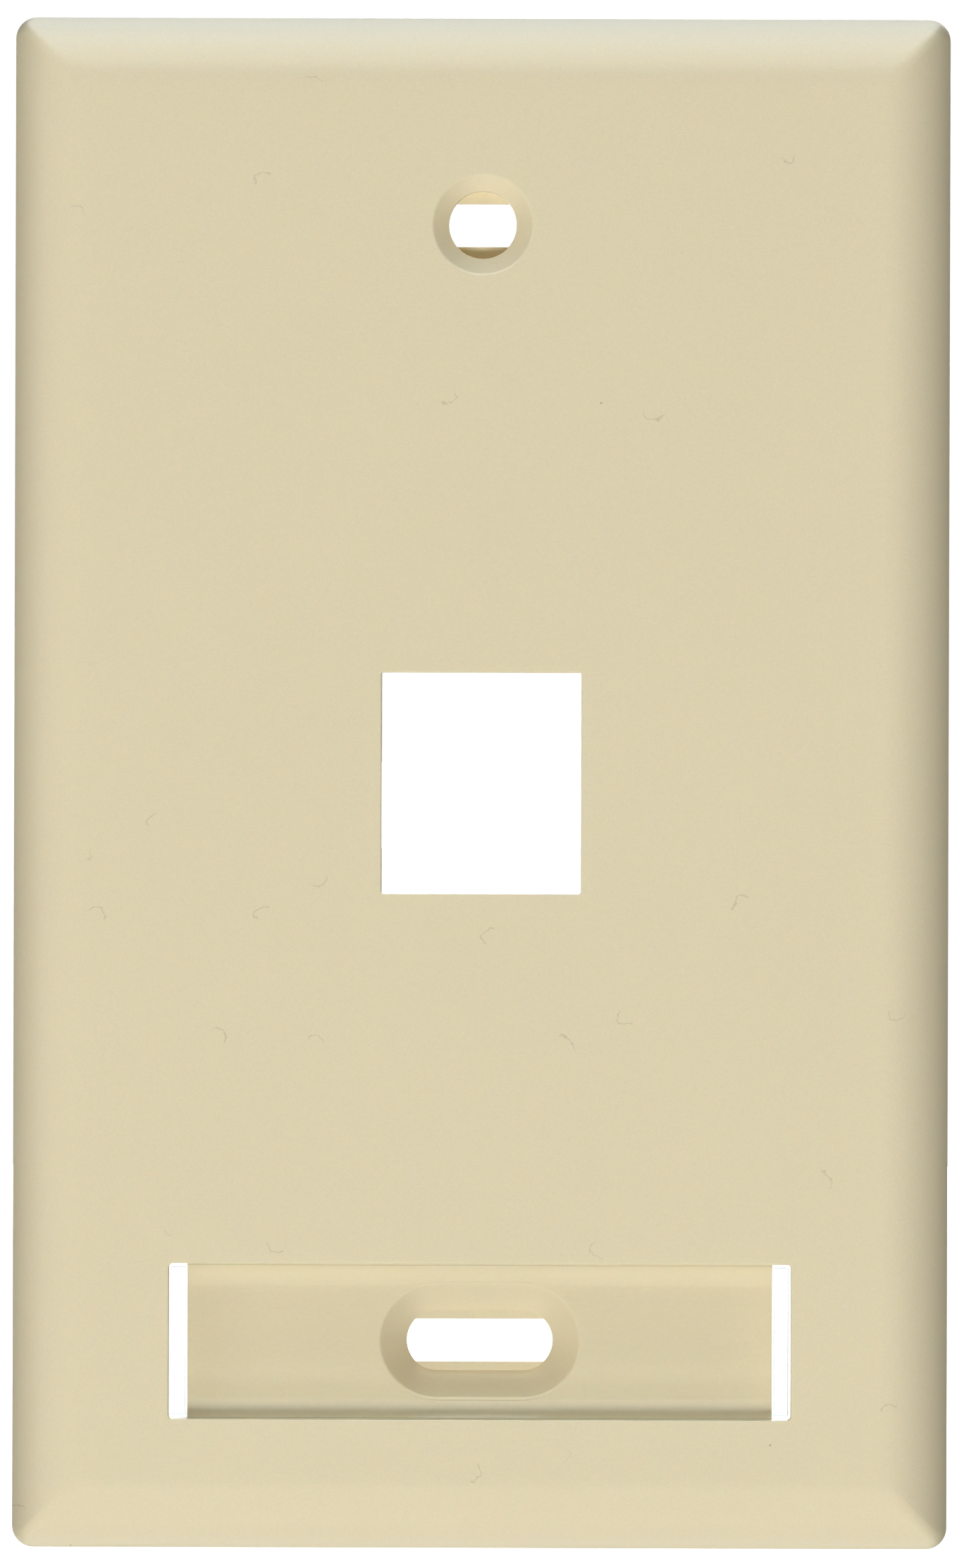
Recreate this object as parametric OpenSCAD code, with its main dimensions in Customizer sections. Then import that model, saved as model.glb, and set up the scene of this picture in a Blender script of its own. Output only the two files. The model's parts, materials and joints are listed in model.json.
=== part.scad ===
// Single-gang wall plate for one snap-in jack, with a sunken label recess at its lower screw.
// The recess takes a clear snap-in window that covers the label and the screw.
// Millimetres. +Z is up and the face looks along -Y.
// The origin is the centre of the rim plane, which lies on the wall.

/* [Plate] */
// Width of the plate
plate_w = 69.85; // [60:0.05:90]
// Height of the plate
plate_h = 114.3; // [108:0.05:130]
// Distance from the wall to the face
plate_depth = 6.35; // [6.2:0.05:7.5]
// Thickness of the face wall
face_t = 2.2; // [1.8:0.1:2.4]
// Thickness of the rim wall
rim_t = 1.8; // [1.2:0.1:2.5]
// Radius of the outline's corners
corner_r = 1.6; // [0.8:0.1:3]
// Width of the rounded slope around the face
bevel_w = 5; // [3:0.1:5.4]
// Radius of the slope's arc, which is tangent to the face
bevel_r = 5.6; // [5.5:0.1:12]

/* [Screw holes] */
// Distance between the two screw axes
screw_pitch = 83.34; // [80:0.01:86]
// Diameter of the round upper hole
hole_d = 5.05; // [4.2:0.05:5.5]
// Diameter of the upper countersink at the face
sink_d = 7.45; // [6.5:0.05:8.5]
// Length of the straight wall under the upper countersink
hole_wall = 1.7; // [1:0.1:2]
// Countersink angle, edge to edge, in degrees
sink_angle = 82; // [75:1:95]
// Height of the gap in the web that holds a screw captive
web_gap = 3.2; // [2.8:0.1:3.6]
// Thickness of that web
web_t = 0.6; // [0.4:0.1:0.8]
// Length of the lower slotted hole, end to end
slot_l = 10.9; // [8:0.1:12]
// Width of the lower slotted hole
slot_w = 4.5; // [4:0.1:5]
// Width of the lower countersink at the recess floor
slot_sink_w = 8.5; // [7.5:0.1:8.6]

/* [Jack opening] */
// Width of the jack opening
jack_w = 14.9; // [14.5:0.1:15.2]
// Height of the jack opening
jack_h = 16.5; // [16:0.1:17]
// How far the jack housing reaches behind the wall plane
jack_reach = 2.4; // [1.5:0.1:4]
// Room above the opening for the jack's sprung latch
latch_room = 2.8; // [2:0.1:3.5]
// Room below the opening for the jack's fixed hook
hook_room = 1.7; // [1:0.1:2.5]
// Thickness of the housing walls
housing_t = 1.4; // [1:0.1:2]

/* [Label recess] */
// Width of the recess, end to end
recess_w = 46.4; // [40:0.1:50]
// Height of the recess
recess_h = 11.6; // [10:0.1:13]
// Depth of the recess floor below the face
recess_depth = 3; // [2.8:0.1:3.2]
// Radius of the cove along the top and bottom of the floor
cove_r = 1.8; // [1:0.1:1.8]
// Width of the open slot at each end, which takes a window leg
leg_slot = 1.35; // [1.3:0.05:1.8]

/* [Label window] */
// Clearance around the window
window_gap = 0.1; // [0.05:0.01:0.2]
// Thickness of the pane
pane_t = 1; // [0.8:0.1:1.1]
// How far the pane sits below the face
pane_sunk = 0.15; // [0.1:0.05:0.2]
// Thickness of a leg
leg_t = 1; // [0.6:0.05:1]
// Clearance between a leg and each end of its slot
leg_end_gap = 0.3; // [0.2:0.1:2]
// Distance of the leg tips from the wall plane
leg_tip = 1.9; // [1.2:0.1:3]

/* [Hidden] */
$fn = 96;
over = 1;
IVORY = [0.86, 0.81, 0.69];
CLEAR = [0.85, 0.9, 0.92, 0.35];

face_back = plate_depth - face_t;
screw_z = screw_pitch / 2;
sink_slope = tan(sink_angle / 2);
cavity_corner_r = 0.8;

// Upper screw boss
sink_depth = (sink_d - hole_d) / 2 / sink_slope;
web_front = plate_depth - sink_depth - hole_wall;
boss_d = hole_d + 4.6;
boss_back = 1.2;
boss_bore_d = 6.6;

// Lower screw slot
floor_z = plate_depth - recess_depth;
slot_half = (slot_l - slot_w) / 2;
slot_sink_depth = (slot_sink_w - slot_w) / 2 / sink_slope;
slot_web_front = floor_z - slot_sink_depth;
slot_boss_r = 4.2;

// Tray behind the recess, with a chamber at each end for a window leg
tray_t = 1.4;
tray_back = 1.6;
floor_w = recess_w - 2 * leg_slot;
chamber_out = recess_w / 2 + 1.9;
chamber_wall = 1;
slot_corner_r = 0.3;

// Jack housing
pocket_w = jack_w + 0.8;
pocket_top = jack_h / 2 + latch_room;
pocket_bottom = -jack_h / 2 - hook_room;
catch_h = 2.4;
catch_t = 2;
rail_gap_top = 1.6;
rail_gap_bottom = -4.9;

// Stiffening ribs behind the face
rib_t = 1;
rib_depth = 1.4;
rib_z = [-9.5, 10.5];

// Label window
pane_front = plate_depth - pane_sunk;
pane_back = pane_front - pane_t;
leg_out = recess_w / 2 - window_gap - 0.1;
leg_lead = 0.4;
leg_w = recess_h - 2 * leg_end_gap;

// A centred rectangle with round corners.
module round_rect(w, h, r) {
    square([w - 2 * r, h], center = true);
    square([w, h - 2 * r], center = true);
    for (x = [-1, 1], y = [-1, 1])
        translate([x * (w / 2 - r), y * (h / 2 - r)])
            circle(r);
}

// A slot outline, half long from the middle to the centre of each end.
module slot_outline(half, r) {
    square([2 * half, 2 * r], center = true);
    for (x = [-1, 1])
        translate([x * half, 0])
            circle(r);
}

// A prism of a 2D outline from low to high.
module prism(low, high) {
    translate([0, 0, low])
        linear_extrude(high - low)
            children();
}

// A box from its lowest to its highest corner.
module block(low, high) {
    translate(low)
        cube(high - low);
}

// Cross-section of the plate, w wide, with an arc sloping down to each side.
module crowned_section(w) {
    flat_half = w / 2 - bevel_w;
    arc_z = plate_depth - bevel_r;
    translate([-flat_half, 0])
        square([2 * flat_half, plate_depth]);
    if (arc_z > 0)
        translate([-w / 2, 0])
            square([w, arc_z]);
    intersection() {
        for (x = [-1, 1])
            translate([x * flat_half, arc_z])
                circle(bevel_r, $fn = 180);
        translate([-w / 2, 0])
            square([w, plate_depth]);
    }
}

// The outer form: two crowned sections crossed, which meet in mitres at the corners.
module plate_form() {
    intersection() {
        rotate([90, 0, 0])
            linear_extrude(plate_h + 2 * over, center = true)
                crowned_section(plate_w);
        rotate([90, 0, 90])
            linear_extrude(plate_w + 2 * over, center = true)
                crowned_section(plate_h);
        prism(-over, plate_depth + over)
            round_rect(plate_w, plate_h, corner_r);
    }
}

// The hollow behind the face.
module back_cavity() {
    prism(-over, face_back)
        round_rect(plate_w - 2 * rim_t, plate_h - 2 * rim_t, cavity_corner_r);
}

// Upper screw boss and the cut for its countersunk hole.
module upper_boss() {
    translate([0, screw_z, boss_back])
        cylinder(d = boss_d, h = face_back + over / 2 - boss_back);
}

module upper_hole() {
    translate([0, screw_z, 0]) {
        translate([0, 0, plate_depth - sink_depth])
            cylinder(d1 = hole_d, d2 = sink_d, h = sink_depth);
        translate([0, 0, plate_depth])
            cylinder(d = sink_d, h = over);
        translate([0, 0, web_front])
            cylinder(d = hole_d, h = hole_wall + over / 10);
        translate([0, 0, boss_back - over])
            cylinder(d = boss_bore_d, h = web_front - web_t - boss_back + over);
        intersection() {
            cylinder(d = boss_bore_d, h = plate_depth - sink_depth);
            block([-boss_d, -web_gap / 2, 0], [boss_d, web_gap / 2, web_front + over / 10]);
        }
    }
}

// Tray behind the recess, and the boss under its slotted hole.
module label_tray() {
    half_w = chamber_out + chamber_wall;
    half_h = recess_h / 2 + tray_t;
    translate([0, -screw_z, 0]) {
        block([-half_w, -half_h, tray_back], [half_w, half_h, face_back + over / 2]);
        prism(slot_web_front - web_t, tray_back + over / 2)
            slot_outline(slot_half, slot_boss_r);
    }
}

// Trough section of the recess: a flat floor, a cove along each side, and upright walls.
module trough_section() {
    half = recess_h / 2;
    cove_y = half - cove_r;
    translate([-cove_y, floor_z])
        square([2 * cove_y, recess_depth + over]);
    translate([-half, floor_z + cove_r])
        square([recess_h, recess_depth - cove_r + over]);
    for (y = [-1, 1])
        translate([y * cove_y, floor_z + cove_r])
            circle(cove_r);
}

module label_recess() {
    translate([0, -screw_z, 0]) {
        rotate([90, 0, 90])
            linear_extrude(floor_w + over / 10, center = true)
                trough_section();
        difference() {
            prism(-over, plate_depth + over)
                round_rect(recess_w, recess_h, slot_corner_r);
            block([-floor_w / 2, -recess_h, -2 * over], [floor_w / 2, recess_h, plate_depth + 2 * over]);
        }
        for (side = [-1, 1])
            scale([side, 1, 1])
                block([floor_w / 2, -recess_h / 2, -over], [chamber_out, recess_h / 2, face_back]);
    }
}

// Countersunk slot through the tray floor, and the gap in its web.
module lower_slot() {
    sink_r = slot_sink_w / 2;
    slot_r = slot_w / 2;
    translate([0, -screw_z, 0]) {
        translate([0, 0, slot_web_front])
            for (x = [-1, 1])
                translate([x * slot_half, 0, 0])
                    cylinder(r1 = slot_r, r2 = sink_r, h = slot_sink_depth);
        rotate([90, 0, 90])
            linear_extrude(2 * slot_half, center = true)
                polygon([
                    [-slot_r, slot_web_front], [slot_r, slot_web_front],
                    [sink_r, floor_z], [-sink_r, floor_z]
                ]);
        prism(floor_z, plate_depth)
            slot_outline(slot_half, sink_r);
        intersection() {
            prism(-over, slot_web_front + over / 10)
                slot_outline(slot_half, slot_r);
            block([-slot_l, -web_gap / 2, -2 * over], [slot_l, web_gap / 2, plate_depth]);
        }
    }
}

// Housing that holds a snap-in jack: walls all round, a catch above and a hook room below.
module jack_housing() {
    rear = -jack_reach;
    half_w = pocket_w / 2 + housing_t;
    difference() {
        block([-half_w, pocket_bottom - housing_t, rear], [half_w, pocket_top + housing_t, face_back + over / 2]);
        block([-pocket_w / 2, pocket_bottom, rear - over], [pocket_w / 2, pocket_top, face_back]);
    }
    rotate([90, 0, 90])
        linear_extrude(pocket_w + over, center = true)
            polygon([
                [pocket_top + over / 2, rear], [pocket_top - catch_h / 3, rear],
                [pocket_top - catch_h, rear + catch_t / 2], [pocket_top - catch_h, rear + catch_t],
                [pocket_top + over / 2, rear + catch_t]
            ]);
    for (side = [-1, 1])
        scale([side, 1, 1]) {
            block([jack_w / 2, rail_gap_top, rear], [half_w - over / 2, jack_h / 2, face_back + over / 2]);
            block([jack_w / 2, -jack_h / 2, rear], [half_w - over / 2, rail_gap_bottom, face_back + over / 2]);
        }
}

module jack_cut() {
    block([-jack_w / 2, -jack_h / 2, face_back - over], [jack_w / 2, jack_h / 2, plate_depth + over]);
}

// Low ribs from the housing to the rim.
module back_ribs() {
    inner = pocket_w / 2 + housing_t - over / 2;
    outer = plate_w / 2 - rim_t + over / 2;
    for (side = [-1, 1], z = rib_z)
        scale([side, 1, 1])
            block([inner, z - rib_t / 2, face_back - rib_depth], [outer, z + rib_t / 2, face_back + over / 2]);
}

// The plate, moulded in one piece.
module wall_plate() {
    color(IVORY)
        rotate([90, 0, 0])
            difference() {
                union() {
                    difference() {
                        plate_form();
                        back_cavity();
                    }
                    upper_boss();
                    label_tray();
                    jack_housing();
                    back_ribs();
                }
                upper_hole();
                label_recess();
                lower_slot();
                jack_cut();
            }
}

// The clear window: a flat pane, and a leg at each end that passes through the recess's end slot.
module id_window() {
    color(CLEAR)
        rotate([90, 0, 0])
            translate([0, -screw_z, 0]) {
                prism(pane_back, pane_front)
                    round_rect(recess_w - 2 * window_gap, recess_h - 2 * window_gap, slot_corner_r);
                for (side = [-1, 1])
                    scale([side, 1, 1])
                        rotate([90, 0, 0])
                            linear_extrude(leg_w, center = true)
                                polygon([
                                    [leg_out - leg_t, pane_back + pane_t / 2], [leg_out, pane_back + pane_t / 2],
                                    [leg_out, leg_tip + leg_lead], [leg_out - leg_lead, leg_tip],
                                    [leg_out - leg_t, leg_tip]
                                ]);
            }
}

wall_plate();
id_window();
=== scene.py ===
"""Looks for a single-gang ivory wall plate with a jack opening and a clear label window.

Meshes are built in the plate's own millimetre frame: x to the right, y up, z out from the wall.
They are turned into the row frame, in metres, when they are finished.
"""

import json
import math

import bmesh
import bpy
from mathutils import Matrix, Vector


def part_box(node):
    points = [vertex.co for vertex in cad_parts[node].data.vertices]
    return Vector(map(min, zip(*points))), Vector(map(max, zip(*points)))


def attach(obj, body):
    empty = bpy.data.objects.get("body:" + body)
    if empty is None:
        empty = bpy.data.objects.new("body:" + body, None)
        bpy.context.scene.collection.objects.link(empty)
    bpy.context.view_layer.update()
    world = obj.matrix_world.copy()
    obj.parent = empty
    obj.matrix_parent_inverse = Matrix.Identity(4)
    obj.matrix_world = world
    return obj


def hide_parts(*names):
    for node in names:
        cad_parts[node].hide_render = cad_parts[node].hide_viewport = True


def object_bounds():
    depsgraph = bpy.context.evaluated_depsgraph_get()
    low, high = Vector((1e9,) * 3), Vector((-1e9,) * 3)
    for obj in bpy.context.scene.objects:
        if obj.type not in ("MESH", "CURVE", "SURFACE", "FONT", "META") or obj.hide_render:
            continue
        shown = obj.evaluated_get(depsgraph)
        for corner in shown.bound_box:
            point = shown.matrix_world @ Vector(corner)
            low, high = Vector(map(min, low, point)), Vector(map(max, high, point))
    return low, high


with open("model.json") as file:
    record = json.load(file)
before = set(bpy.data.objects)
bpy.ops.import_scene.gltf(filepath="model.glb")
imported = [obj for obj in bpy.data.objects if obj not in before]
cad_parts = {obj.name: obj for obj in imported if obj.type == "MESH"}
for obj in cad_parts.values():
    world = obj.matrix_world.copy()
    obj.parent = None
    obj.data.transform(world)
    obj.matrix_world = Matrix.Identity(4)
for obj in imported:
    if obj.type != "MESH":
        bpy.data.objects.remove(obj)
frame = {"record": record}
cad_low, cad_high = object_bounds()

MM = 0.001
TO_ROW = Matrix.Rotation(math.radians(90), 4, "X") @ Matrix.Scale(MM, 4)
OVER = 1.0  # how far a cutter runs past what it cuts, in millimetres
PAST = 0.2  # the same where there is less room
RIM_R = 0.13  # how round the edges of the openings are, in millimetres
SINK_EDGE_R = 0.3  # the same for the rims of the countersinks
SINK_FOOT_R = 0.1  # the same where the upper countersink meets the hole's wall
FLARE = 1.0  # how wide a cutter's brim over a face is, in millimetres
FLARE_RISE = 0.02  # how far that brim rises from the face, which keeps the two apart
BOND = 0.5  # how far what stands on a wall starts inside it, in millimetres
WELD = 0.0005  # points nearer than this become one, in millimetres
SMOOTH_ANGLE = math.radians(14)  # faces that meet at less than this are shaded as one

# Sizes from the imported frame, in millimetres
plate_low, plate_high = (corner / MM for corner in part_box("wall_plate"))
window_low, window_high = (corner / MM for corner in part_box("id_window"))
mounts = {mount["name"]: mount for mount in frame["record"]["mounts"]}
PLATE_W = plate_high.x - plate_low.x
PLATE_H = plate_high.z - plate_low.z
PLATE_DEPTH = -plate_low.y
JACK_REACH = plate_high.y
SCREW_Z = mounts["screw_hole_top"]["pos_m"][2] / MM
HOLE_R = mounts["screw_hole_top"]["dims"]["r_mm"]
HOLE_WALL = mounts["screw_hole_top"]["dims"]["length_mm"]
SLOT_R = mounts["screw_slot_bottom"]["dims"]["hole_r_mm"]
SLOT_HALF = mounts["screw_slot_bottom"]["dims"]["slot_length_mm"] / 2 - SLOT_R
WINDOW_GAP = 0.1  # between the window and the recess, all round
RECESS_W = window_high.x - window_low.x + 2 * WINDOW_GAP
RECESS_H = window_high.z - window_low.z + 2 * WINDOW_GAP
PANE_FRONT = -window_low.y
LEG_TIP = -window_high.y

# Sizes that the frame doesn't state, as in the CAD model, in millimetres
FACE_T = 2.2
RIM_T = 1.8
CORNER_R = 1.6
BEVEL_W = 5.0
BEVEL_R = 5.6
SINK_R = 3.725
SINK_SLOPE = math.tan(math.radians(41))
WEB_GAP = 3.2
WEB_T = 0.6
BOSS_R = 4.825
BOSS_BORE_R = 3.3
BOSS_BACK = 1.2
SLOT_SINK_R = 4.25
SLOT_BOSS_R = 4.2
JACK_W = 14.9
JACK_H = 16.5
POCKET_W = 15.7
POCKET_TOP = 11.05
POCKET_BOTTOM = -9.95
HOUSING_T = 1.4
CATCH_H = 2.4
CATCH_T = 2.0
RAIL_GAP = (-4.9, 1.6)  # heights between which the jack's guide rails are open
RECESS_DEPTH = 3.0
COVE_R = 1.8
LEG_SLOT = 1.35
TRAY_T = 1.4
TRAY_BACK = 1.6
CHAMBER_OUT = RECESS_W / 2 + 1.9  # how far from the middle the window legs' chambers reach
CHAMBER_WALL = 1.0
RIB_T = 1.0
RIB_DEPTH = 1.4
RIB_HEIGHTS = (-9.5, 10.5)
PANE_T = 1.0
LEG_T = 1.0
LEG_END_GAP = 0.3
LEG_W = RECESS_H - 2 * LEG_END_GAP

FACE_BACK = PLATE_DEPTH - FACE_T
ROOT = FACE_BACK + BOND  # where what stands on the back of the face starts
FLOOR_Z = PLATE_DEPTH - RECESS_DEPTH
COVE_TOP = FLOOR_Z + COVE_R
FLOOR_W = RECESS_W - 2 * LEG_SLOT
SINK_DEPTH = (SINK_R - HOLE_R) / SINK_SLOPE
WEB_FRONT = PLATE_DEPTH - SINK_DEPTH - HOLE_WALL
SLOT_WEB_FRONT = FLOOR_Z - (SLOT_SINK_R - SLOT_R) / SINK_SLOPE


# ---------------------------------------------------------------- outlines


def arc(centre, radius, start, end, steps):
    """Points on an arc from start to end, in degrees."""
    angles = [math.radians(start + (end - start) * i / steps) for i in range(steps + 1)]
    return [(centre[0] + radius * math.cos(a), centre[1] + radius * math.sin(a)) for a in angles]


def round_rect(width, height, radius, steps=8):
    """A rectangle about the origin with round corners, anticlockwise."""
    x, y = width / 2 - radius, height / 2 - radius
    corners = [(x, y, 0), (-x, y, 90), (-x, -y, 180), (x, -y, 270)]
    return [p for cx, cy, a in corners for p in arc((cx, cy), radius, a, a + 90, steps)]


def slot_outline(half, radius, steps=48):
    """Two half circles joined by straight sides, anticlockwise."""
    return arc((half, 0), radius, -90, 90, steps) + arc((-half, 0), radius, 90, 270, steps)


def circle(radius, steps=96):
    """A circle about the origin, anticlockwise."""
    return arc((0, 0), radius, 0, 360, steps)[:-1]


def rounded(path, radii, steps=4):
    """A path of 2D points with each inner corner replaced by an arc of its own radius."""
    points = [Vector(p) for p in path]
    made = [points[0]]
    for before, corner, after, radius in zip(points, points[1:], points[2:], radii):
        to_before, to_after = (before - corner).normalized(), (after - corner).normalized()
        half = to_before.angle(to_after) / 2
        reach = radius / math.tan(half)
        centre = corner + (to_before + to_after).normalized() * radius / math.sin(half)
        first, last = corner + to_before * reach - centre, corner + to_after * reach - centre
        turn = first.angle_signed(last)
        for i in range(steps + 1):
            made.append(centre + Matrix.Rotation(-turn * i / steps, 2) @ first)
    made.append(points[-1])
    return [tuple(p) for p in made]


# ---------------------------------------------------------------- solids


def new_piece(name, bm):
    """A piece with the mesh that bm holds; bm is used up."""
    bmesh.ops.recalc_face_normals(bm, faces=bm.faces)
    mesh = bpy.data.meshes.new(name)
    bm.to_mesh(mesh)
    bm.free()
    piece = bpy.data.objects.new(name, mesh)
    bpy.context.scene.collection.objects.link(piece)
    return piece


def lofted(name, rings):
    """A closed solid through rings of 3D points, with a flat face at each end."""
    bm = bmesh.new()
    loops = [[bm.verts.new(point) for point in ring] for ring in rings]
    count = len(loops[0])
    for low, high in zip(loops, loops[1:]):
        for i in range(count):
            j = (i + 1) % count
            bm.faces.new((low[i], low[j], high[j], high[i]))
    bm.faces.new(loops[0])
    bm.faces.new(loops[-1])
    return new_piece(name, bm)


def swept(outline, path, at=(0, 0)):
    """A solid whose outline, a function of how far it is grown, follows a path of (growth, z)."""
    return lofted("solid", [[(x + at[0], y + at[1], z) for x, y in outline(g)] for g, z in path])


def prism(outline, low, high, at=(0, 0)):
    """An outline in the plate's plane, from low to high above the wall."""
    return swept(lambda growth: outline, [(0, low), (0, high)], at)


def bar(section, low, high, at=(0, 0)):
    """A (y, z) section run along x from low to high."""
    return lofted("solid", [[(x + at[0], y + at[1], z) for y, z in section] for x in (low, high)])


def block(low, high):
    """A rectangular block between two opposite corners."""
    (x0, y0, z0), (x1, y1, z1) = low, high
    return prism([(x0, y0), (x1, y0), (x1, y1), (x0, y1)], z0, z1)


def grown_rect(width, height, radius):
    """A round-cornered rectangle as a function of how far it is grown."""
    return lambda growth: round_rect(width + 2 * growth, height + 2 * growth, radius + growth, 6)


def raised(outline, root, end, edge_r=0.2, at=(0, 0)):
    """A boss from its root in the plate to its end towards the wall, with the end's edge round."""
    inset = -1.5 * edge_r
    return swept(outline, rounded([(0, root), (0, end), (inset, end)], [edge_r]), at)


def mouth(outline, depth, face, edge_r=RIM_R, wall_side=False, at=(0, 0)):
    """A cutter from depth out through a face, which rounds the edge that it leaves there."""
    out = -1 if wall_side else 1
    brim = [(FLARE, face + out * FLARE_RISE), (FLARE, face + out * OVER)]
    return swept(outline, rounded([(0, depth), (0, face), brim[0]], [edge_r]) + brim[1:], at)


def evaluated(piece):
    """Puts the result of a piece's modifiers in its mesh."""
    graph = bpy.context.evaluated_depsgraph_get()
    mesh = bpy.data.meshes.new_from_object(piece.evaluated_get(graph))
    piece.modifiers.clear()
    piece.data = mesh


def combine(piece, operation, *others):
    """Adds or cuts other solids, which are used up."""
    for other in others:
        step = piece.modifiers.new("combine", "BOOLEAN")
        step.operation = operation
        step.solver = "EXACT"
        step.object = other
        evaluated(piece)
        bpy.data.objects.remove(other)


def finish_mesh(piece):
    """Shades flat faces flat and round ones smooth, and turns the piece into the row frame."""
    bm = bmesh.new()
    bm.from_mesh(piece.data)
    bmesh.ops.remove_doubles(bm, verts=bm.verts, dist=WELD)
    bm.to_mesh(piece.data)
    bm.free()
    piece.data.shade_smooth()
    piece.data.set_sharp_from_angle(angle=SMOOTH_ANGLE)
    weighting = piece.modifiers.new("weighting", "WEIGHTED_NORMAL")
    weighting.weight = 100
    weighting.keep_sharp = True
    evaluated(piece)
    piece.data.transform(TO_ROW)


# ---------------------------------------------------------------- the plate


def crown_profile():
    """(distance in from the outline, height) up the rim wall, round its edge and over the slope."""
    edge_r = 0.25
    foot = 0.15
    centre_z = PLATE_DEPTH - BEVEL_R
    edge_z = centre_z + math.sqrt((BEVEL_R - edge_r) ** 2 - (BEVEL_W - edge_r) ** 2)
    meet = math.degrees(math.atan2(edge_z - centre_z, BEVEL_W - edge_r))
    profile = [(foot, 0), (foot * 0.3, foot * 0.3), (0, foot)]
    profile += [(edge_r - x, z) for x, z in arc((0, edge_z), edge_r, 0, meet, 5)]
    profile += [(BEVEL_W - x, z) for x, z in arc((0, centre_z), BEVEL_R, meet, 90, 30)][1:]
    return profile


def corner_radius(inset):
    """The outline's corner radius, which closes to a tight mitre up the slope."""
    mitre_r = 0.7
    reach = 1.1
    return mitre_r + (CORNER_R - mitre_r) * max(0, 1 - inset / reach) ** 2


def shell():
    """The crowned face with its rim, hollow behind."""
    rings = []

    def ring(inset, z, radius):
        outline = round_rect(PLATE_W - 2 * inset, PLATE_H - 2 * inset, radius, 10)
        rings.append([(x, y, z) for x, y in outline])

    flat_margin = 0.6
    cavity_r, chamfer, fillet = 0.8, 0.12, 0.4
    ring(BEVEL_W + flat_margin, PLATE_DEPTH, corner_radius(BEVEL_W))
    for inset, z in reversed(crown_profile()):
        ring(inset, z, corner_radius(inset))
    ring(RIM_T - chamfer, 0, cavity_r)
    ring(RIM_T, chamfer, cavity_r)
    inside = [(RIM_T, chamfer), (RIM_T, FACE_BACK), (2 * RIM_T, FACE_BACK)]
    for inset, z in rounded(inside, [fillet], 6)[1:-1]:
        ring(inset, z, cavity_r)
    return lofted("wall_plate_moulding", rings)


def upper_hole():
    """Cutters for the countersunk hole, its bore behind the web, and the gap in the web."""
    at = (0, SCREW_Z)
    sink = SINK_R - HOLE_R
    wall_top = WEB_FRONT + HOLE_WALL
    flare = sink + FLARE
    path = [(0, WEB_FRONT), (0, wall_top), (sink, PLATE_DEPTH), (flare, PLATE_DEPTH + FLARE_RISE)]
    path = rounded(path, [SINK_FOOT_R, SINK_EDGE_R]) + [(flare, PLATE_DEPTH + OVER)]
    yield swept(lambda growth: circle(HOLE_R + growth), path, at)
    web_back = WEB_FRONT - WEB_T
    yield mouth(
        lambda growth: circle(BOSS_BORE_R + growth), web_back, BOSS_BACK, wall_side=True, at=at
    )
    half_h = WEB_GAP / 2
    half_w = math.sqrt(BOSS_BORE_R**2 - half_h**2)
    yield block(
        (-half_w, SCREW_Z - half_h, web_back - BOND), (half_w, SCREW_Z + half_h, WEB_FRONT + PAST)
    )


def trough_section():
    """The foot of the recess in cross-section: a cove along each side and a flat floor.

    It is a hair narrower than the recess's mouth, so that the two never share a face.
    """
    ledge, lid_inset, lid_rise = 0.004, 0.05, 0.3
    half, lid_half = RECESS_H / 2 - ledge, RECESS_H / 2 - ledge - lid_inset
    path = [(-half, COVE_TOP), (-half, FLOOR_Z), (half, FLOOR_Z), (half, COVE_TOP)]
    lid = [(lid_half, COVE_TOP + lid_rise), (-lid_half, COVE_TOP + lid_rise)]
    return rounded(path, [COVE_R, COVE_R], 16)[1:-1] + lid


def recess_cutters():
    """The recess's mouth, its trough, and at each end the open slot and the chamber behind it."""
    centre, half_h = (0, -SCREW_Z), RECESS_H / 2
    corner_r, overlap = 0.3, 0.1
    inner = FLOOR_W / 2
    end = inner + overlap / 2
    yield mouth(
        grown_rect(RECESS_W, RECESS_H, corner_r), COVE_TOP - overlap, PLATE_DEPTH, at=centre
    )
    yield bar(trough_section(), -end, end, centre)
    outline = round_rect(RECESS_W, RECESS_H, corner_r, 6)
    upper = [p for p in outline if p[0] > 0 and p[1] > 0]
    lower = [p for p in outline if p[0] > 0 and p[1] < 0]
    slot = upper + [(inner, half_h), (inner, -half_h)] + lower
    for side in (-1, 1):
        yield prism([(side * x, y) for x, y in slot], -OVER, COVE_TOP + overlap, centre)
        x0, x1 = sorted((side * inner, side * CHAMBER_OUT))
        yield block((x0, -SCREW_Z - half_h, -OVER), (x1, -SCREW_Z + half_h, FACE_BACK))


def lower_slot():
    """Cutters for the countersunk slot and for the gap in its web."""
    at = (0, -SCREW_Z)
    sink = SLOT_SINK_R - SLOT_R
    brim_w, brim_rise = 0.2, 0.004
    cap_w, cap_rise = 0.35, 0.6
    brim = [(sink + brim_w, FLOOR_Z + brim_rise), (sink + cap_w, FLOOR_Z + cap_rise)]
    path = rounded([(0, SLOT_WEB_FRONT), (sink, FLOOR_Z), brim[0]], [SINK_EDGE_R], 5)
    yield swept(lambda growth: slot_outline(SLOT_HALF, SLOT_R + growth), path + brim[1:], at)
    half = WEB_GAP / 2
    tilt = math.degrees(math.asin(half / SLOT_R))
    sides = arc((SLOT_HALF, 0), SLOT_R, -tilt, tilt, 24)
    sides += arc((-SLOT_HALF, 0), SLOT_R, 180 - tilt, 180 + tilt, 24)
    yield prism(sides, -OVER, SLOT_WEB_FRONT + PAST, at)


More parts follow.
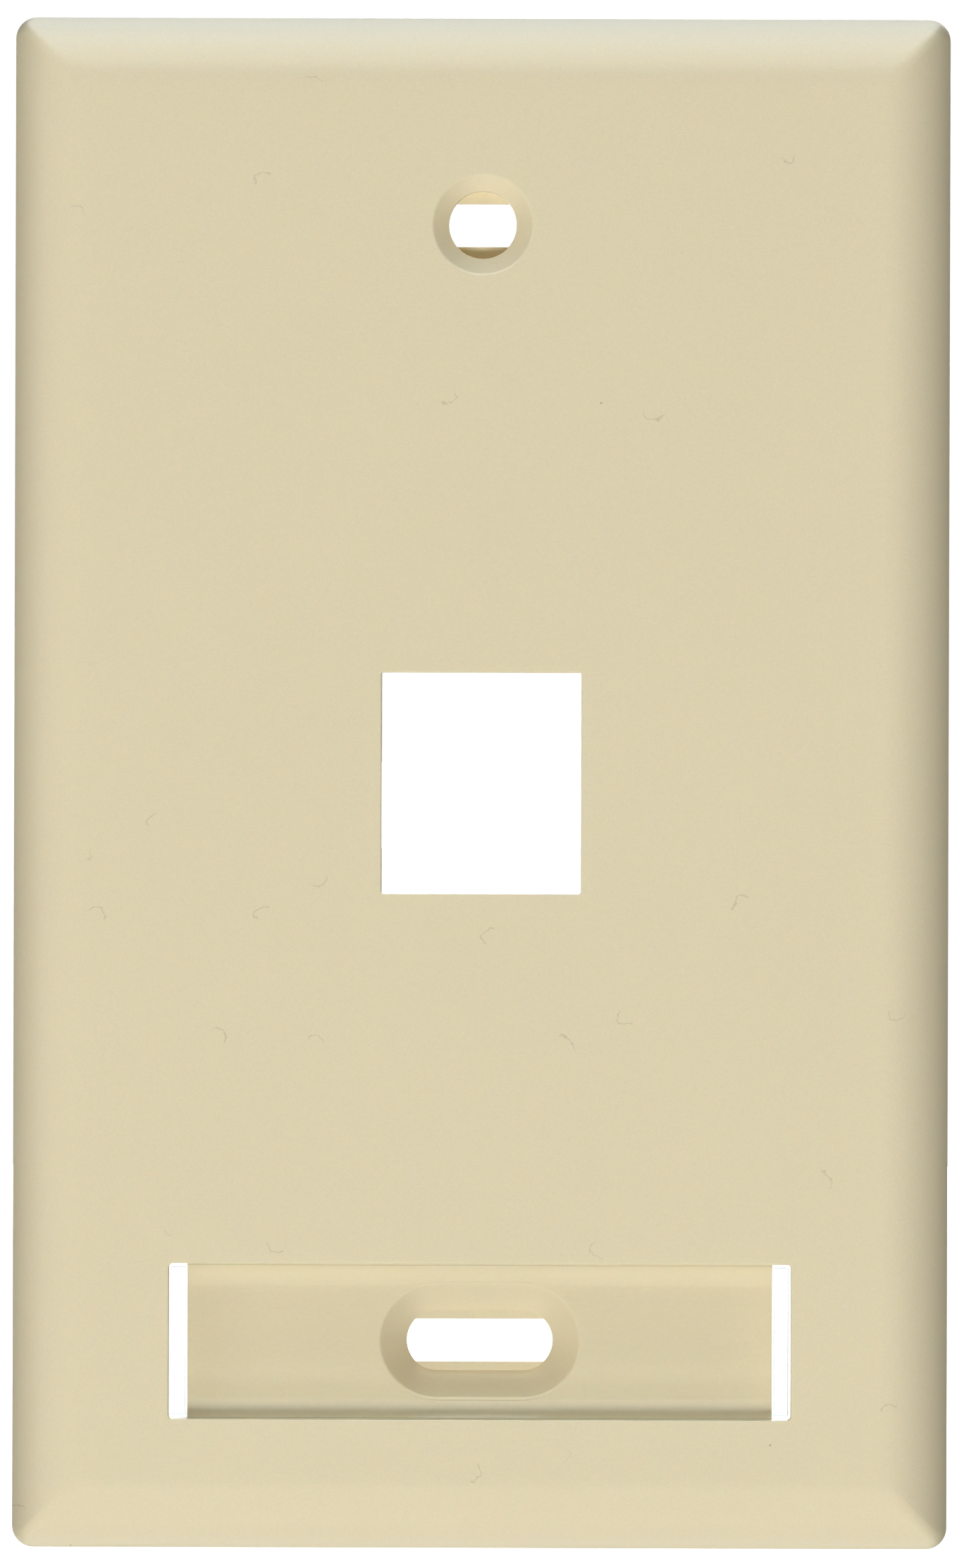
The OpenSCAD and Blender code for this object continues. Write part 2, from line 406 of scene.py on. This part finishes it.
def jack_housing():
    """Walls, catch and guide rails behind the jack opening."""
    rear, half_w = -JACK_REACH, POCKET_W / 2 + HOUSING_T
    middle = (0, (POCKET_TOP + POCKET_BOTTOM) / 2)
    pocket_h = POCKET_TOP - POCKET_BOTTOM
    outside_r, pocket_r, catch_r = 0.5, 0.3, 0.15
    outside = grown_rect(2 * half_w, pocket_h + 2 * HOUSING_T, outside_r)
    walls = raised(outside, ROOT, rear, at=middle)
    pocket = mouth(
        grown_rect(POCKET_W, pocket_h, pocket_r), FACE_BACK, rear, wall_side=True, at=middle
    )
    combine(walls, "DIFFERENCE", pocket)
    setback = 0.2
    back = rear + setback
    catch = [
        (POCKET_TOP + BOND, back),
        (POCKET_TOP - CATCH_H / 3, back),
        (POCKET_TOP - CATCH_H, rear + CATCH_T / 2),
        (POCKET_TOP - CATCH_H, rear + CATCH_T),
        (POCKET_TOP + BOND, rear + CATCH_T),
    ]
    section = rounded(catch, [catch_r] * 3)
    inside = half_w - BOND
    combine(walls, "UNION", bar(section, -inside, inside))
    for side in (-1, 1):
        x0, x1 = sorted((side * JACK_W / 2, side * inside))
        for y0, y1 in ((-JACK_H / 2, RAIL_GAP[0]), (RAIL_GAP[1], JACK_H / 2)):
            combine(walls, "UNION", block((x0, y0, back), (x1, y1, ROOT)))
    return walls


def back_ribs():
    """Low ribs from the jack housing to the rim, each with a round crest."""
    crest = FACE_BACK - RIB_DEPTH
    half, crest_r = RIB_T / 2, 0.3
    section = [(-half, ROOT), (-half, crest), (half, crest), (half, ROOT)]
    section = rounded(section, [crest_r, crest_r])
    inner, outer = POCKET_W / 2 + HOUSING_T - BOND, PLATE_W / 2 - RIM_T + BOND
    for side in (-1, 1):
        x0, x1 = sorted((side * inner, side * outer))
        for y in RIB_HEIGHTS:
            yield bar(section, x0, x1, (0, y))


def ejector_marks():
    """Shallow round marks where the mould's pins pushed on the back of the face."""
    radius, depth, edge_r = 1.6, 0.15, 0.05
    for x in (-26, 26):
        for y in (-52, -25, 25, 50):
            yield mouth(
                lambda growth: circle(radius + growth, 48),
                FACE_BACK + depth, FACE_BACK, edge_r, wall_side=True, at=(x, y),
            )


def wall_plate():
    """The whole moulding: the shell, what stands on its back, and then every opening."""
    plate = shell()
    tray_w, tray_h = 2 * (CHAMBER_OUT + CHAMBER_WALL), RECESS_H + 2 * TRAY_T
    tray_r, opening_r = 0.6, 0.12
    low = (0, -SCREW_Z)
    combine(
        plate, "UNION",
        raised(lambda growth: circle(BOSS_R + growth), ROOT, BOSS_BACK, at=(0, SCREW_Z)),
        raised(grown_rect(tray_w, tray_h, tray_r), ROOT, TRAY_BACK, at=low),
        raised(
            lambda growth: slot_outline(SLOT_HALF, SLOT_BOSS_R + growth),
            TRAY_BACK + BOND, SLOT_WEB_FRONT - WEB_T, at=low,
        ),
        jack_housing(),
        *back_ribs(),
    )
    combine(plate, "DIFFERENCE", *upper_hole(), *recess_cutters(), *lower_slot(), *ejector_marks())
    combine(
        plate, "DIFFERENCE",
        mouth(grown_rect(JACK_W, JACK_H, opening_r), FACE_BACK - OVER, PLATE_DEPTH),
    )
    finish_mesh(plate)
    return plate


# ---------------------------------------------------------------- the label window


def label_window():
    """A clear pane with a leg at each end; each leg has a small hook and a lead-in."""
    width, height = RECESS_W - 2 * WINDOW_GAP, RECESS_H - 2 * WINDOW_GAP
    corner_r, edge_r, inset = 0.8, 0.04, -0.5
    back = PANE_FRONT - PANE_T
    path = [(inset, back), (0, back), (0, PANE_FRONT), (inset, PANE_FRONT)]
    path = rounded(path, [edge_r, edge_r])
    pane = swept(grown_rect(width, height, corner_r), path, (0, -SCREW_Z))
    leg_inset, hook, lead, leg_edge_r = 0.1, 0.1, 0.4, 0.1
    leg_out = width / 2 - leg_inset
    root = PANE_FRONT - PANE_T / 2
    section = [
        (leg_out - LEG_T, root),
        (leg_out - LEG_T, LEG_TIP),
        (leg_out - lead, LEG_TIP),
        (leg_out + hook, LEG_TIP + 2 * lead),
        (leg_out, LEG_TIP + 3 * lead),
        (leg_out, root),
    ]
    section = rounded(section, [leg_edge_r] * 4)
    for side in (-1, 1):
        leg = lofted(
            "solid",
            [[(side * x, y - SCREW_Z, z) for x, z in section] for y in (-LEG_W / 2, LEG_W / 2)],
        )
        combine(pane, "UNION", leg)
    pane.name = "label_window_clear"
    finish_mesh(pane)
    return pane


# ---------------------------------------------------------------- materials


class Shading:
    """A new material and its nodes; an input is a number, a vector or another node's output."""

    def __init__(self, name):
        self.material = bpy.data.materials.new(name)
        self.material.use_nodes = True
        self.nodes = self.material.node_tree.nodes
        self.links = self.material.node_tree.links

    def put(self, socket, value):
        if isinstance(value, bpy.types.NodeSocket):
            self.links.new(value, socket)
        else:
            socket.default_value = value

    def math(self, operation, *values):
        node = self.nodes.new("ShaderNodeMath")
        node.operation = operation
        for socket, value in zip(node.inputs, values):
            self.put(socket, value)
        return node.outputs["Value"]

    def vector(self, operation, *values):
        node = self.nodes.new("ShaderNodeVectorMath")
        node.operation = operation
        for socket, value in zip(node.inputs, values):
            self.put(socket, value)
        return node.outputs["Value" if operation in ("LENGTH", "DOT_PRODUCT") else "Vector"]

    def scaled(self, vector, factor):
        node = self.nodes.new("ShaderNodeVectorMath")
        node.operation = "SCALE"
        self.put(node.inputs["Vector"], vector)
        self.put(node.inputs["Scale"], factor)
        return node.outputs["Vector"]

    def noise(self, place, size, detail=1.0):
        """Noise whose features are of a given size in millimetres."""
        node = self.nodes.new("ShaderNodeTexNoise")
        self.put(node.inputs["Vector"], place)
        node.inputs["Scale"].default_value = 1 / (size * MM)
        node.inputs["Detail"].default_value = detail
        return node.outputs["Fac"]

    def ramp(self, value, low, high):
        """Nought at low, one at high, smooth between."""
        node = self.nodes.new("ShaderNodeMapRange")
        node.interpolation_type = "SMOOTHSTEP"
        self.put(node.inputs["Value"], value)
        node.inputs["From Min"].default_value = low
        node.inputs["From Max"].default_value = high
        return node.outputs["Result"]


def lint(shading, place, spacing, curl, thickness, share):
    """Curled fibres on the face, one in a share of a random pattern's cells; sizes in mm."""
    parts = shading.nodes.new("ShaderNodeSeparateXYZ")
    shading.put(parts.inputs["Vector"], place)
    flat = shading.nodes.new("ShaderNodeCombineXYZ")
    shading.put(flat.inputs["X"], parts.outputs["X"])
    shading.put(flat.inputs["Y"], parts.outputs["Z"])
    spot = flat.outputs["Vector"]
    wobble = shading.nodes.new("ShaderNodeTexNoise")
    shading.put(wobble.inputs["Vector"], spot)
    wobble.inputs["Scale"].default_value = 1 / (curl * MM)
    wobble_size = 1.4 * curl * MM
    shift = shading.vector("SUBTRACT", wobble.outputs["Color"], (0.5, 0.5, 0.5))
    shift = shading.vector("MULTIPLY", shift, (wobble_size, wobble_size, 0))
    cells = shading.nodes.new("ShaderNodeTexVoronoi")
    cells.voronoi_dimensions = "2D"
    shading.put(cells.inputs["Vector"], spot)
    cells.inputs["Scale"].default_value = 1 / (spacing * MM)
    offset = shading.vector("SUBTRACT", spot, cells.outputs["Position"])
    offset = shading.vector("ADD", offset, shift)
    away = shading.math("SUBTRACT", shading.vector("LENGTH", offset), curl * MM)
    line = shading.ramp(shading.math("ABSOLUTE", away), thickness * MM, 0.3 * thickness * MM)
    heading = shading.vector("SUBTRACT", cells.outputs["Color"], (0.5, 0.5, 0.5))
    reach = shading.vector("DOT_PRODUCT", offset, heading)
    part = shading.ramp(reach, 0.1 * curl * MM, 0.25 * curl * MM)
    pick = shading.nodes.new("ShaderNodeSeparateColor")
    shading.put(pick.inputs["Color"], cells.outputs["Color"])
    chosen = shading.math("LESS_THAN", pick.outputs["Blue"], share)
    return shading.math("MULTIPLY", shading.math("MULTIPLY", line, part), chosen)


def ivory_plastic():
    """Satin ivory moulding: fine grain, faint clouding, a few dark specks and a little lint."""
    shading = Shading("ivory_moulded_plastic")
    nodes, links = shading.nodes, shading.links
    place = nodes.new("ShaderNodeTexCoord").outputs["Object"]
    drawn_out = nodes.new("ShaderNodeMapping")
    drawn_out.inputs["Scale"].default_value = (0.55, 1, 1)
    links.new(place, drawn_out.inputs["Vector"])
    grain_size, cloud_size, speck_spacing = 0.11, 14, 7
    grain_depth, cloud_depth, lint_depth, speck_depth = 0.1, 0.02, 0.16, 0.4
    grain = shading.noise(drawn_out.outputs["Vector"], grain_size)
    clouds = shading.noise(place, cloud_size)
    tone = shading.math("MULTIPLY_ADD", grain, grain_depth, 1 - grain_depth / 2 - cloud_depth / 2)
    tone = shading.math("MULTIPLY_ADD", clouds, cloud_depth, tone)
    fibres = lint(shading, place, spacing=9, curl=0.75, thickness=0.09, share=0.18)
    tone = shading.math("SUBTRACT", tone, shading.math("MULTIPLY", fibres, lint_depth))
    spots = nodes.new("ShaderNodeTexVoronoi")
    links.new(place, spots.inputs["Vector"])
    spots.inputs["Scale"].default_value = 1 / (speck_spacing * MM)
    outside, inside = 0.016, 0.008
    speck = shading.ramp(spots.outputs["Distance"], outside, inside)
    tone = shading.math("SUBTRACT", tone, shading.math("MULTIPLY", speck, speck_depth))
    shader = nodes["Principled BSDF"]
    links.new(shading.scaled((0.829, 0.738, 0.527), tone), shader.inputs["Base Color"])
    shader.inputs["Roughness"].default_value = 0.38
    shader.inputs["IOR"].default_value = 1.53
    shader.inputs["Subsurface Weight"].default_value = 0.15
    shader.inputs["Subsurface Radius"].default_value = (1.0, 0.6, 0.25)
    shader.inputs["Subsurface Scale"].default_value = 1.2 * MM
    bump = nodes.new("ShaderNodeBump")
    bump.inputs["Strength"].default_value = 0.25
    bump.inputs["Distance"].default_value = 0.01 * MM
    links.new(grain, bump.inputs["Height"])
    links.new(bump.outputs["Normal"], shader.inputs["Normal"])
    return shading.material


def clear_plastic():
    """Clear moulding: what is behind it shows through, and its faces reflect."""
    shading = Shading("clear_moulded_plastic")
    nodes, links = shading.nodes, shading.links
    nodes.remove(nodes["Principled BSDF"])
    output = nodes["Material Output"]
    clear = nodes.new("ShaderNodeBsdfTransparent")
    face_on, edge_on = (0.995, 0.998, 0.996, 1), (0.56, 0.63, 0.6, 1)
    facing = nodes.new("ShaderNodeLayerWeight").outputs["Facing"]
    tint = nodes.new("ShaderNodeMix")
    tint.data_type = "RGBA"
    tint.inputs["A"].default_value = face_on
    tint.inputs["B"].default_value = edge_on
    links.new(tint.outputs["Result"], clear.inputs["Color"])
    gloss = nodes.new("ShaderNodeBsdfGlossy")
    gloss.inputs["Roughness"].default_value = 0.05
    fresnel = nodes.new("ShaderNodeFresnel")
    fresnel.inputs["IOR"].default_value = 1.3
    geometry = nodes.new("ShaderNodeNewGeometry")
    tint_falloff, most_gloss = 2.5, 0.3
    links.new(shading.math("POWER", facing, tint_falloff), tint.inputs["Factor"])
    outside = shading.math("SUBTRACT", 1, geometry.outputs["Backfacing"])
    gloss_share = shading.math("MULTIPLY", fresnel.outputs["Fac"], outside)
    gloss_share = shading.math("MINIMUM", gloss_share, most_gloss)
    mix = nodes.new("ShaderNodeMixShader")
    links.new(gloss_share, mix.inputs["Fac"])
    links.new(clear.outputs["BSDF"], mix.inputs[1])
    links.new(gloss.outputs["BSDF"], mix.inputs[2])
    links.new(mix.outputs["Shader"], output.inputs["Surface"])
    return shading.material


def studio_white():
    """The pale floor, evenly bright."""
    shading = Shading("studio_white")
    shader = shading.nodes["Principled BSDF"]
    shader.inputs["Base Color"].default_value = (0.8, 0.8, 0.8, 1)
    shader.inputs["Roughness"].default_value = 0.9
    shader.inputs["Specular IOR Level"].default_value = 0
    shader.inputs["Emission Color"].default_value = (1, 1, 1, 1)
    shader.inputs["Emission Strength"].default_value = 1.0
    return shading.material


# ---------------------------------------------------------------- studio


LIGHT_DISTANCE = 2.0
LIGHTS = {
    # name: (angle above and angle to the right of the camera, in degrees, width and height in
    #        metres, what it lights, colour, power in watts)
    "key_low": (-21, 0, 2.1, 0.4, "diffuse", (1.0, 1.0, 0.97), 27.8),
    "key_lower": (-45, 0, 2.1, 0.4, "diffuse", (1.0, 1.0, 0.95), 6.4),
    "low_fill": (-75, 0, 2.0, 0.5, "diffuse", (1.0, 0.97, 0.9), 6.4),
    "left_fill": (0, -58, 0.8, 1.8, "diffuse", (1.0, 0.98, 0.94), 7.5),
    "top_fill": (48, 0, 2.4, 0.4, "diffuse", (1.0, 0.9, 0.6), 4),
    "top_high_fill": (74, 0, 2.0, 0.5, "diffuse", (0.7, 0.85, 1.0), 12),
    "top_low_sheen": (44, 0, 2.4, 1.0, "gloss", (1.0, 1.0, 0.95), 20),
    "top_sheen": (72, 0, 2.4, 1.0, "gloss", (1.0, 1.0, 0.95), 27),
    "top_edge_sheen": (95, 0, 2.4, 0.9, "gloss", (0.9, 0.97, 1.0), 29),
    "top_back_sheen": (117, 0, 2.4, 0.9, "gloss", (0.95, 1.0, 1.0), 30),
    "low_sheen": (-75, 0, 2.4, 0.9, "gloss", (1.0, 1.0, 0.9), 5.2),
    "low_back_sheen": (-115, 0, 2.4, 0.9, "gloss", (1.0, 1.0, 0.9), 15),
    "behind_high": (160, -15, 1.2, 1.2, "all", (1.0, 0.98, 0.95), 32),
    "behind_low": (-165, 18, 1.2, 1.2, "all", (0.94, 0.97, 1.0), 16),
}


def add_lights():
    """Area lamps all round the plate, each turned to it."""
    for name, (rise, aside, width, height, lit, colour, power) in LIGHTS.items():
        lamp = bpy.data.lights.new(name, "AREA")
        lamp.shape = "RECTANGLE"
        lamp.size = width
        lamp.size_y = height
        lamp.color = colour
        lamp.energy = power
        e, a = math.radians(rise), math.radians(aside)
        towards = Vector((math.sin(a) * math.cos(e), -math.cos(a) * math.cos(e), math.sin(e)))
        place = bpy.data.objects.new(name, lamp)
        place.location = towards * LIGHT_DISTANCE
        place.rotation_euler = towards.to_track_quat("Z", "Y").to_euler()
        place.visible_camera = False
        place.visible_diffuse = lit != "gloss"
        place.visible_glossy = lit != "diffuse"
        bpy.context.scene.collection.objects.link(place)


def add_floor():
    """The pale floor that the plate stands on."""
    size = 1.5
    bm = bmesh.new()
    corners = [(-size, -size), (size, -size), (size, size), (-size, size)]
    bm.faces.new([bm.verts.new((x, y, 0)) for x, y in corners])
    floor = new_piece("studio_floor", bm)
    floor.location.z = cad_low.z
    floor.data.materials.append(studio_white())
    floor.visible_diffuse = False
    floor.visible_glossy = False
    floor.visible_shadow = False


def add_world():
    """A white backdrop that lights nothing."""
    world = bpy.data.worlds.new("studio")
    world.use_nodes = True
    background = world.node_tree.nodes["Background"]
    background.inputs["Color"].default_value = (1, 1, 1, 1)
    background.inputs["Strength"].default_value = 1.05
    world.cycles_visibility.diffuse = False
    world.cycles_visibility.glossy = False
    bpy.context.scene.world = world
    bpy.context.scene.view_settings.view_transform = "Standard"


def add_camera():
    """Square to the face, as tall as the plate and its margin, with the photo's slight roll."""
    distance = 1.5
    frame_height = 0.1172
    outline_y = -0.0031
    aside, rise = 0.00005, -0.00005
    roll = math.radians(-0.17)
    camera = bpy.data.cameras.new("camera")
    camera.sensor_width = 36
    camera.lens = camera.sensor_width * distance / frame_height
    place = bpy.data.objects.new("camera", camera)
    place.location = (aside, outline_y - distance, rise)
    place.rotation_euler = (math.radians(90), roll, 0)
    bpy.context.scene.collection.objects.link(place)
    bpy.context.scene.camera = place


add_camera()
add_world()
add_lights()
add_floor()

plate = wall_plate()
plate.data.materials.clear()
plate.data.materials.append(ivory_plastic())
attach(plate, "plate")
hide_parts("wall_plate")

window = label_window()
window.data.materials.clear()
window.data.materials.append(clear_plastic())
window.visible_shadow = False
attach(window, "window")
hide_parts("id_window")
